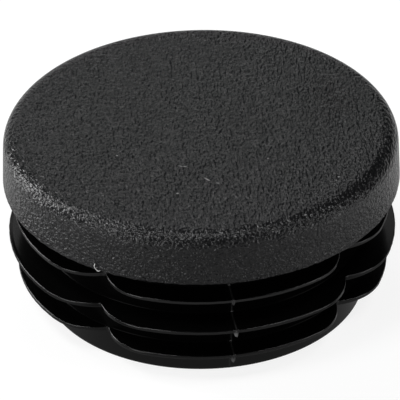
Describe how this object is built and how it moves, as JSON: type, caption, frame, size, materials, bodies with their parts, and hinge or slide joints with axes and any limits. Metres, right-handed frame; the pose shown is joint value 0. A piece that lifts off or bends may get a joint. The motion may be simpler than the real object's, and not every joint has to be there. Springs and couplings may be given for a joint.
{
  "type": "round tube end cap",
  "caption": "Round push-in end cap for a tube: a grained disc head over a hollow core with thin lobed lamellae that grip the bore.",
  "frame": {"origin": "centre of the open foot of the core, on the cap's axis", "axes": "+Z along the axis from the foot towards the head; a lobe of each lamella is centred on each of +X, +Y, -X and -Y"},
  "size_m": [0.05, 0.05, 0.0228],
  "materials": {
    "moulding": "black polyethylene, spark-eroded grain on the head, smooth satin on the core and lamellae"
  },
  "bodies": {
    "root": {"end_cap": "moulding"}
  },
  "joints": []
}
